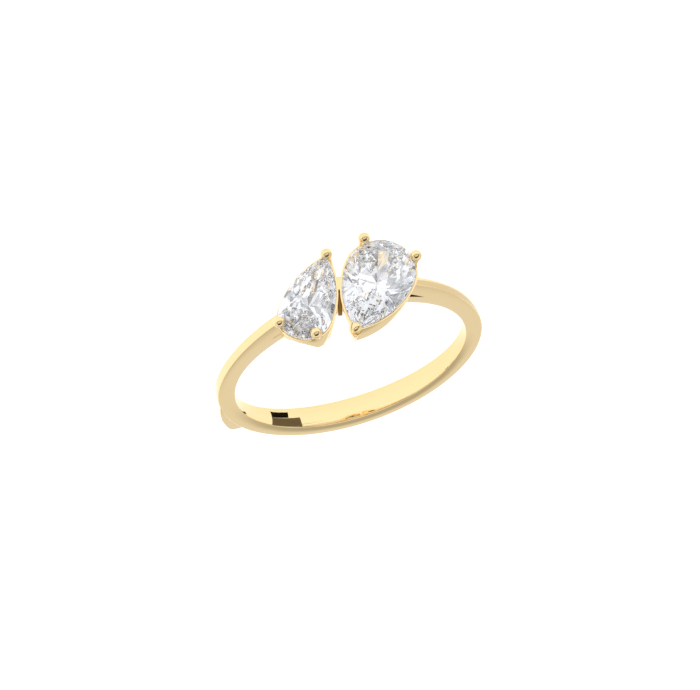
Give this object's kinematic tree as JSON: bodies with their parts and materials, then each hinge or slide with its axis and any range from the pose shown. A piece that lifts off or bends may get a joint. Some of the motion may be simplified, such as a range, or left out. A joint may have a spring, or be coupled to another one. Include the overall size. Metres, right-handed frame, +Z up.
{
  "type": "toi et moi ring",
  "caption": "Polished gold ring with a tapering band and raised shoulders, holding a large and a small pear-cut stone side by side, point against round end.",
  "frame": {"origin": "on the table under the middle of the ring's box, as it lies on its side", "axes": "+Z up, nearly along the finger hole; -Y to the front, where the stones look; +X across the hand, toward the small stone's side"},
  "size_m": [0.0196, 0.0222, 0.007],
  "materials": {
    "gold": "mirror polished",
    "diamond": "polished facets"
  },
  "bodies": {
    "root": {"ring_mount": "gold", "large_pear_stone": "diamond", "small_pear_stone": "diamond"}
  },
  "joints": []
}
